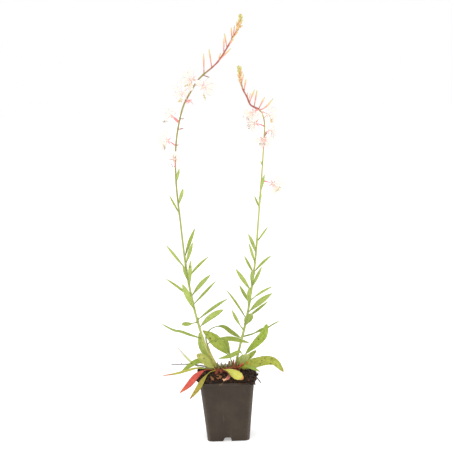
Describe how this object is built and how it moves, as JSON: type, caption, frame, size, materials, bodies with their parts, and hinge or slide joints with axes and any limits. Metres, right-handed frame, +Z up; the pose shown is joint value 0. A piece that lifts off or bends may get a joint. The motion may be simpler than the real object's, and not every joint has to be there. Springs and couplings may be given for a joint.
{
  "type": "potted whirling butterflies gaura",
  "caption": "Young gaura plant in a square nursery pot: two slender arching stems with butterfly-like white flowers and pink buds over a leafy crown.",
  "frame": {"origin": "under the middle of the pot, on the surface it stands on", "axes": "+Z up, +X to the right and +Y away from the viewer when seen from the front"},
  "size_m": [0.2012, 0.1048, 0.6701],
  "materials": {
    "pot": "dark taupe moulded plastic, satin",
    "soil": "moist peat with fibres",
    "crown": "woody red-brown crown",
    "stem": "green stems and narrow leaves",
    "rachis": "reddish flower stem and buds",
    "leaf": "fresh green leaf with dark spots",
    "leaf_old": "yellowing leaf",
    "leaf_red": "bright red old leaf",
    "leaf_dry": "dry curled leaf",
    "calyx": "pink-red flower tube and sepals",
    "petals": "white petals with a pink flush, and stamens"
  },
  "bodies": {
    "root": {"pot": "pot", "soil": "soil", "crown": "crown", "stem_left": "stem", "stem_right": "stem", "spike_left": "rachis", "spike_right": "rachis", "leaf_big_left": "leaf", "leaf_back_left": "leaf", "leaf_toothed": "leaf", "leaf_arched_left": "leaf", "leaf_thin_left": "leaf_old", "leaf_pale_back": "leaf", "leaf_red": "leaf_red", "leaf_olive_front": "leaf_old", "leaf_yellow_front": "leaf_old", "leaf_curled_front": "leaf_dry", "leaf_arched_right": "leaf", "leaf_under_right": "leaf", "leaf_spotted_right": "leaf", "leaf_small_right": "leaf", "leaf_folded_middle": "leaf", "leaf_pale_right": "leaf", "leaf_over_back": "leaf", "leaf_over_front": "leaf", "leaf_upright_back": "leaf", "calyx_left_1": "calyx", "petals_left_1": "petals", "calyx_left_2": "calyx", "petals_left_2": "petals", "calyx_left_3": "calyx", "petals_left_3": "petals", "calyx_left_4": "calyx", "petals_left_4": "petals", "calyx_left_5": "calyx", "petals_left_5": "petals", "calyx_left_6": "calyx", "petals_left_6": "petals", "calyx_right_1": "calyx", "petals_right_1": "petals", "calyx_right_2": "calyx", "petals_right_2": "petals", "calyx_right_3": "calyx", "petals_right_3": "petals", "calyx_right_4": "calyx", "petals_right_4": "petals", "calyx_right_5": "calyx", "petals_right_5": "petals", "calyx_right_6": "calyx", "petals_right_6": "petals", "calyx_spent": "calyx"}
  },
  "joints": []
}
